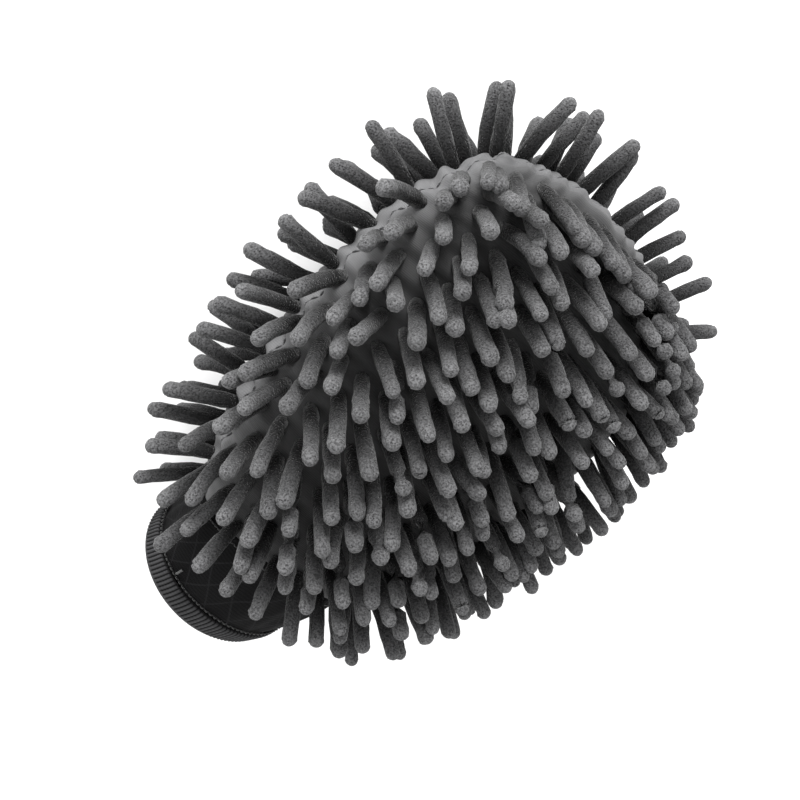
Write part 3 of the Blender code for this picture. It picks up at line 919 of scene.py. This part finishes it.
def bar_of_stitches(material):
    """Close stitches side by side that lock the end of the hem seam, at the turn nearest to the CAD bar."""
    box = np.array(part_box("cuff_bartack"))
    middle = box.mean(axis=0) - CENTRE
    distance = HEM_START - TUBE_GAP - BAR_SETBACK
    fine = np.linspace(0, 2 * np.pi, 3000)
    ring = sagged(cuff_surface(np.full_like(fine, distance), fine, np.zeros_like(fine)))
    nearest = fine[np.linalg.norm(ring - middle, axis=1).argmin()]
    places = distance + np.linspace(-BAR_LENGTH / 2, BAR_LENGTH / 2, BAR_STITCHES)
    turn, inward = np.full_like(places, nearest), np.full_like(places, -0.9 * MM)
    starts = cuff_surface(places, turn - BAR_HALF_TURN, inward)
    ends = cuff_surface(places, turn + BAR_HALF_TURN, inward)
    outs = unit(starts - cuff_spine(places)[0])
    return stitch_line("cuff_bar_of_stitches", starts, ends, outs, BAR_THREAD, "cuff_bartack", material)


# ================================================================ panels
def panels(cloth, wadding, lining):
    """For each side: the outer cloth, the wadding behind it and the lining of the pocket."""
    for back, side in ((False, "front"), (True, "back")):
        outer = cloth_shell(f"{side}_cloth", 0, CLOTH, CLOTH_GRID, back, cloth, hem=CLOTH_HEM)
        hand_over(outer, "ground_cloth", f"{side}_ground_cloth")
        pad = cloth_shell(
            f"{side}_padding", WADDING_DEPTH, WADDING, WADDING_GRID, back, wadding, WADDING_START
        )
        hand_over(pad, "wadding", f"{side}_wadding")
        inside = cloth_shell(
            f"{side}_pocket_lining", LINING_DEPTH, LINING, LINING_GRID, back, lining
        )
        hand_over(inside, "lining", f"{side}_lining")


# ================================================================ floor, light and camera
VIEW_RIGHT = np.array([0.628, 0.705, 0.330])
VIEW_UP = np.array([-0.536, 0.699, -0.473])
VIEW_DISTANCE = 0.519
LENS = 51.9
AIM = CENTRE + np.array([0.0, 115.8, 0.0]) * MM
AIM_OFFSET = np.array([-25.4, -10.6]) * MM
FLOOR_REACH = 6.0
WORLD_STRENGTH = 1.35
# name, shares of the camera's back, up and right directions, distance, size and power
LAMPS = (
    ("key", (0.75, 0.75, 0.10), 1.3, 0.5, 32),
    ("fill", (0.9, -0.1, -0.9), 1.5, 0.9, 7),
)


def set_camera():
    """Right and up made square to each other, then the camera set back from the aim along the third one."""
    right = unit(VIEW_RIGHT)
    up = unit(VIEW_UP - right * np.dot(VIEW_UP, right))
    back = np.cross(right, up)
    place = AIM + back * VIEW_DISTANCE + right * AIM_OFFSET[0] + up * AIM_OFFSET[1]
    data = bpy.data.cameras.new("camera")
    data.lens = LENS
    data.sensor_width = 36
    data.clip_start = 0.01
    camera = bpy.data.objects.new("camera", data)
    columns = np.stack([right, up, back, place], axis=1)
    camera.matrix_world = Matrix([list(row) for row in columns] + [[0, 0, 0, 1]])
    bpy.context.scene.collection.objects.link(camera)
    bpy.context.scene.camera = camera
    return right, up, back


def area_light(name, direction, distance, size, power):
    """A square lamp that faces the middle of the mitt from one direction."""
    data = bpy.data.lights.new(name, "AREA")
    data.size = size
    data.energy = power
    lamp = bpy.data.objects.new(name, data)
    back = unit(np.array(direction))
    helper = np.array([0, 1.0, 0]) if abs(back[1]) < 0.9 else np.array([1.0, 0, 0])
    right = unit(np.cross(helper, back))
    columns = np.stack([right, np.cross(back, right), back, AIM + back * distance], axis=1)
    lamp.matrix_world = Matrix([list(row) for row in columns] + [[0, 0, 0, 1]])
    bpy.context.scene.collection.objects.link(lamp)


def set_stage():
    """A pale square floor and an even white surround."""
    floor_mesh = bpy.data.meshes.new("floor")
    corners = [(FLOOR_REACH * x, FLOOR_REACH * y, 0) for x, y in ((-1, -1), (1, -1), (1, 1), (-1, 1))]
    floor_mesh.from_pydata(corners, [], [(0, 1, 2, 3)])
    floor_mesh.materials.append(floor_material())
    floor = bpy.data.objects.new("floor", floor_mesh)
    bpy.context.scene.collection.objects.link(floor)
    world = bpy.data.worlds.new("studio")
    world.use_nodes = True
    background = world.node_tree.nodes["Background"]
    background.inputs["Color"].default_value = (1, 1, 1, 1)
    background.inputs["Strength"].default_value = WORLD_STRENGTH
    bpy.context.scene.world = world
    bpy.context.scene.view_settings.view_transform = "Standard"


# ================================================================ making
right, up, back = set_camera()
set_stage()
for lamp, (share_back, share_up, share_right), distance, size, power in LAMPS:
    direction = share_back * back + share_up * up + share_right * right
    area_light(lamp, direction, distance, size, power)

# wale, course and bump depth in metres, then the sheen, and for the ground cloth the share it keeps under the
# painted shade between the fingers
panels(
    cloth_material("ground_cloth", CLOTH_COLOUR, 0.0011, 0.0009, 0.0003, 0.05, FINGER_SHADE_ON_CLOTH),
    wadding_material(),
    cloth_material("lining", LINING_COLOUR, 0.0016, 0.0014, 0.0003, 0.2),
)
all_rows(chenille_material())

thread = thread_material("thread", THREAD_COLOUR)
dark_thread = thread_material("dark_thread", DARK_THREAD_COLOUR)
pale_thread = thread_material("pale_thread", PALE_THREAD_COLOUR)
cuff_tube(cuff_knit_material())
cuff_rim(rib_material())
elastic = cloth_material("elastic", ELASTIC_COLOUR, 0.0014, 0.0020, 0.0004, 0.1)
tape = cloth_material("seam_tape", TAPE_COLOUR, 0.0012, 0.0012, 0.0003, 0.1)

# start along the cuff, width, how far in from the tube's face, thickness
elastic_place = HEM_START + ELASTIC_SETBACK, ELASTIC_WIDTH, -0.05 * MM, ELASTIC
tape_place = TAPE_SETBACK, TAPE_WIDTH, 2.7 * MM, TAPE
plain_ring("rim_elastic", "cuff_elastic", "elastic", *elastic_place, elastic)
plain_ring("wrist_tape", "wrist_seam_tape", "seam_tape", *tape_place, tape)
hem_line, wrist_line = HEM_START - 1.6 * MM, 2.4 * MM
cuff_stitches(
    "hem_thread", "cuff_hem_stitching", HEM_STITCHES, hem_line, -0.4 * MM, HEM_THREAD, dark_thread
)
cuff_stitches(
    "wrist_thread", "wrist_stitching", WRIST_STITCHES, wrist_line, -0.8 * MM, WRIST_THREAD, dark_thread
)
pocket_seam_stitches(thread)
bar_of_stitches(pale_thread)
